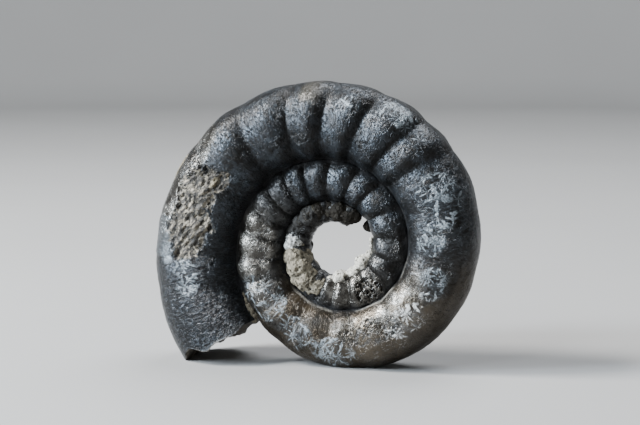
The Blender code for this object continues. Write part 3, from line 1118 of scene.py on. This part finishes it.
# %% The pyrite
def pyrite_material():
    """The shell's material: its colour layers, how metallic and rough it is, and its fine relief."""
    material, tree, shader, place = new_material("pyrite")
    skin = skin_patterns(tree, place)
    add_masks(tree, skin, place)
    tint = steel_layers(tree, skin)
    tint = wear_layers(tree, skin, place, tint)
    tint = damage_layers(tree, skin, place, tint)
    connect(tree, shader, "Base Color", frost_layers(tree, skin, tint))

    metal = 0.80 - (skin.worn + skin.cratered).at_most(1.0) * 0.75
    metal = metal - skin.fern * 0.5 - skin.stained * 0.55 - skin.seam_shade * 0.4 - skin.ochre * 0.5
    metal = metal - skin.broken * 0.65
    connect(tree, shader, "Metallic", metal.at_least(0.0))
    rough = 0.31 - skin.silver * 0.05 + skin.broken * 0.3 + skin.under * 0.15
    rough = rough + (skin.speck - 0.5) * 0.2 + skin.worn * 0.35 + skin.seam_shade * 0.25
    connect(tree, shader, "Roughness", rough + skin.fern * 0.1)

    dull = 1.0 - skin.silver * 0.45
    add_bump(tree, shader, (
        (skin.streak * dull, 0.14), (skin.grain * dull, 0.075), (skin.speck * dull, 0.03),
        (skin.grain.ramp(0.44, 0.56), 0.012), (skin.speck.ramp(0.46, 0.56), 0.006),
        (skin.wrinkle * skin.coarse * (1.0 - skin.silver * 0.7), 0.20),
        (skin.wrinkle.ramp(0.43, 0.57) * skin.coarse * (1.0 - skin.silver * 0.5), 0.06),
        (skin.fern, 0.05), (skin.dot, -0.09), (skin.crease * (1.0 - skin.silver * 0.6), -0.13),
        ((skin.worn + skin.pitted * 0.35).at_most(1.0) * skin.pit, -0.45),
    ))
    return material


# %% Dress the skin
pyrite = pyrite_material()
print("pyrite is made of", len(pyrite.node_tree.nodes), "nodes")
add_tree(shell, skin_tree(), {**SKIN_INPUTS, "Material": pyrite})
thin = shell.modifiers.new("thin_out", "DECIMATE")
thin.ratio = SKIN_TRIANGLES / (2 * len(shell.data.polygons))
bake_modifiers(shell)

# %% [markdown]
# ## Crumbs of rock in the middle
# Hard rock still sticks to the wall of the open middle: tan and pitted at the lower left, white
# at the left, brown along the top with painted shade that makes it nearly black, and cream at the
# bottom. They are balls, nearly all where the solid has its own, with small crumbs scattered on
# them, melted together and roughened. A line of small ones fills the seam where the broken end
# meets the whorl inside it.

# %% Where the rock is
LUMPS = (
    (248, 9.2, -1.7, 2.0, "tan"), (232, 9.1, -1.6, 2.7, "tan"), (214, 8.6, -1.7, 2.7, "tan"),
    (198, 8.4, -1.4, 2.5, "tan"), (205, 7.6, -0.6, 2.3, "tan"), (224, 10.4, -2.3, 1.3, "tan"),
    (242, 10.4, -2.5, 1.1, "tan"), (258, 8.9, -1.9, 1.2, "tan"), (189, 7.6, -0.4, 2.2, "tan"),
    (176, 8.3, -1.8, 1.9, "white"), (183, 9.2, -2.0, 1.1, "white"), (164, 8.3, -0.8, 2.1, "grey"),
    (147, 8.2, -1.8, 1.5, "grey"), (152, 7.8, -0.6, 2.2, "grey"), (132, 7.6, -1.5, 2.3, "grey"),
    (124, 8.3, -2.3, 0.9, "grey"), (114, 7.3, -1.3, 2.0, "brown"), (98, 6.9, -0.8, 2.0, "brown"),
    (81, 6.7, -1.2, 2.1, "brown"), (66, 6.6, -0.9, 2.1, "brown"), (55, 7.1, -0.7, 1.5, "brown"),
    (30, 7.5, 1.2, 1.3, "brown"),
    (265, 7.5, -1.2, 1.0, "cream"), (281, 6.9, -1.1, 1.7, "cream"), (302, 6.8, -0.9, 1.2, "cream"),
    (329, 6.7, -0.9, 1.6, "cream"), (347, 7.4, -0.8, 0.9, "cream"), (359, 7.6, -0.9, 0.7, "cream"),
    (9, 7.8, -1.0, 0.6, "cream"), (314, 7.0, -0.4, 1.3, "cream"), (292, 7.0, 0.4, 1.3, "cream"),
    (222, 8.4, 1.5, 2.5, "tan"), (188, 7.9, 1.4, 2.6, "grey"), (155, 7.7, 1.3, 2.5, "grey"),
    (122, 7.2, 1.2, 2.2, "brown"), (88, 6.7, 1.0, 2.1, "brown"), (320, 7.0, 0.8, 1.4, "cream"),
    (210, 21.1, -3.0, 0.6, "tan"), (213, 21.4, -3.0, 0.8, "tan"), (216, 21.7, -3.1, 1.0, "tan"),
    (219, 22.0, -3.1, 1.1, "tan"), (222, 22.3, -3.0, 1.0, "tan"), (224, 22.6, -2.9, 0.8, "tan"),
)           # angle in degrees, distance from the pole, depth and size in mm, and kind of rock


def lump_places():
    """Middle of each lump."""
    places = []
    for angle, radius, depth, _, _ in LUMPS:
        turned = math.radians(angle)
        place = (radius * math.cos(turned), depth, radius * math.sin(turned))
        places.append(np.array(place) * MM + POLE)
    return np.array(places)


def lump_points():
    """One point for each lump, which keeps its size."""
    mesh = bpy.data.meshes.new("lumps")
    mesh.from_pydata(lump_places().tolist(), [], [])
    store(mesh, "size", [size * MM for _, _, _, size, _ in LUMPS])
    return mesh


# %% Trees of the rock
def heap_tree():
    """Balls on the points, with small crumbs scattered on the balls."""
    inputs = {"Crumb Size": 0.42 * MM, "Crumbs Per Square Metre": 70000.0, "Ball Share": 0.97,
              "Material": None}
    tree, given = geometry_tree("rock_heap", inputs)
    size = point_number(tree, "size")
    ball = tree.node("GeometryNodeMeshIcoSphere", {}, {"Radius": 1.0, "Subdivisions": 4}, 0)
    balls = tree.node("GeometryNodeInstanceOnPoints", {}, {
        "Points": given["Geometry"], "Instance": ball, "Scale": size * given["Ball Share"]})
    balls = tree.node("GeometryNodeRealizeInstances", {}, {"Geometry": balls})
    spots = tree.node("GeometryNodeDistributePointsOnFaces", {}, {
        "Mesh": balls, "Density": given["Crumbs Per Square Metre"], "Seed": 11}, 0)
    crumb = tree.node("GeometryNodeMeshIcoSphere", {}, {"Radius": 1.0, "Subdivisions": 2}, 0)
    share = tree.node("FunctionNodeRandomValue", {"data_type": "FLOAT"},
                      {2: 0.35, 3: 1.0, 8: 3}, 1)
    crumbs = tree.node("GeometryNodeInstanceOnPoints", {}, {
        "Points": spots, "Instance": crumb, "Scale": share * given["Crumb Size"]})
    heap = tree.node("GeometryNodeJoinGeometry", {}, {0: [crumbs, balls]})
    return finish_tree(tree, heap, given["Material"])


def rough_tree():
    """Roughens the melted heap."""
    inputs = {"Lump Height": 1.2 * MM, "Grain Height": 0.30 * MM, "Pit Depth": 0.45 * MM,
              "Material": None}
    tree, given = geometry_tree("rock_surface", inputs)
    place = tree.node("GeometryNodeInputPosition")
    normal = tree.node("GeometryNodeInputNormal", {}, {}, 0)
    relief = (tree.noise(place, 330.0, 2.0) - 0.5) * given["Lump Height"]
    relief = relief + (tree.noise(place, 1300.0, 3.0) - 0.5) * given["Grain Height"]
    pits = tree.cells(place, 700.0).fall(0.1, 0.45)
    relief = relief - pits * given["Pit Depth"]
    rock = tree.node("GeometryNodeSetPosition", {}, {
        "Geometry": given["Geometry"], "Offset": tree.scaled(normal, relief)})
    rock = tree.node("GeometryNodeSetShadeSmooth", {}, {"Geometry": rock, "Shade Smooth": True})
    return finish_tree(tree, rock, given["Material"])


# %% The rock's finish
TAN_ROCK = (0.160, 0.142, 0.108)
# the shaded brown rock along the top is brown stone painted nearly black as shade
OTHER_ROCK = {"white": (0.41, 0.415, 0.40), "brown": (0.0085, 0.0068, 0.0048),
              "cream": (0.40, 0.38, 0.33), "grey": (0.022, 0.0215, 0.021)}
LIGHTER = (1.9, 1.87, 1.8)
ROCK_HOLE = (0.022, 0.019, 0.014)
ROCK_GRAIN = (0.03, 0.027, 0.022)


def rock_material():
    """Dull stone whose colour goes with the kind of rock."""
    material, tree, shader, place = new_material("rock")
    cloud = tree.noise(place, 420.0, 3.0, 0.6)
    flake = tree.noise(place, 1500.0, 3.0, 0.65)
    grain = tree.noise(place, 2600.0, 3.0, 0.65)
    hole = tree.noise(place, 1200.0, 2.0, 0.6).fall(0.30, 0.44)
    hole = tree.cells(place, 900.0).fall(0.10, 0.35).at_least(hole)
    kinds = [(kept_number(tree, kind + "_rock").frayed(cloud, 1.2, 0.35, 0.65), tint)
             for kind, tint in OTHER_ROCK.items()]
    tint = painted(tree, TAN_ROCK, kinds)
    tint = painted(tree, tint, (
        (flake.ramp(0.50, 0.66) * 0.6, tree.vector("MULTIPLY", tint, LIGHTER)),
        (hole * 0.8, ROCK_HOLE),
        (grain.ramp(0.50, 0.68) * 0.35, ROCK_GRAIN),
    ))
    connect(tree, shader, "Base Color", tint)
    connect(tree, shader, "Roughness", 0.72 + (grain - 0.5) * 0.3)
    shader.inputs["Specular IOR Level"].default_value = 0.12
    add_bump(tree, shader, ((grain, 0.16), (flake, 0.20), (hole, -0.22)))
    return material


def colour_rock(mesh):
    """Keeps on each point which kind of rock it is, that of the lump it lies nearest to."""
    sizes = np.array([size for _, _, _, size, _ in LUMPS]) * MM
    away = np.linalg.norm(places_of(mesh)[:, None] - lump_places()[None], axis=2) - sizes
    for kind in OTHER_ROCK:
        own = np.array([name == kind for *_, name in LUMPS])
        store(mesh, kind + "_rock", 0.5 + (away[:, ~own].min(1) - away[:, own].min(1)) / MM)


# %% Build the rock
rock_finish = rock_material()
rock = new_piece("rock_crumbs", lump_points())
add_tree(rock, heap_tree(), {"Material": rock_finish})
melt = rock.modifiers.new("melt", "REMESH")
melt.mode = "VOXEL"
melt.voxel_size = 0.16 * MM
add_tree(rock, rough_tree(), {"Material": rock_finish})
bake_modifiers(rock)
colour_rock(rock.data)

# %% [markdown]
# ## The floor
# The floor is plain and pale. Behind the shell and at its sides it bends up into a wall, so that
# no horizon shows. In front it stays flat.

# %% Floor
FLAT_REACH = 0.85           # metres from the shell to the bend
WALL_REACH = 1.40           # metres from the shell to the wall
FAR_REACH = 3.0
WALL_HEIGHT = 1.5
FLOOR_TONES = ((0.20, 0.198, 0.195), (0.22, 0.218, 0.215))


def floor_point(radius, angle):
    """A place on the floor: how far out it lies, and in which direction."""
    behind = float(smooth(np.array(0.75 + math.sin(angle))))
    bent = float(np.clip((radius - FLAT_REACH) / (WALL_REACH - FLAT_REACH), 0.0, 1.0))
    rise = WALL_HEIGHT * (1.0 - math.cos(bent * math.pi / 2)) * behind
    if radius > WALL_REACH:
        radius = WALL_REACH + (FAR_REACH - WALL_REACH) * (1 - behind)
    return (radius * math.cos(angle), radius * math.sin(angle), rise)


def make_floor():
    """A wide round sheet with a satin, nearly even grey."""
    bend = np.linspace(FLAT_REACH, WALL_REACH, 11)
    rings = [0.0, 0.2, 0.5, *bend, FAR_REACH]
    around = 96
    points = [floor_point(radius, 2 * math.pi * step / around)
              for radius in rings for step in range(around)]
    faces = []
    for ring in range(len(rings) - 1):
        for step in range(around):
            after = (step + 1) % around
            low, high = ring * around, (ring + 1) * around
            faces.append((low + step, high + step, high + after, low + after))
    mesh = bpy.data.meshes.new("floor")
    mesh.from_pydata(points, [], faces)
    mesh.shade_smooth()
    material, tree, shader, place = new_material("floor")
    connect(tree, shader, "Base Color", blend(tree, tree.noise(place, 9.0, 2.0), *FLOOR_TONES))
    shader.inputs["Roughness"].default_value = 0.8
    mesh.materials.append(material)
    return new_piece("floor", mesh)


floor = make_floor()
print("floor of", len(floor.data.polygons), "faces")

# %% Tell the frame what each piece is
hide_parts("ammonite")
for piece in (shell, rock):
    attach(piece, "root")
bpy.context.view_layer.update()
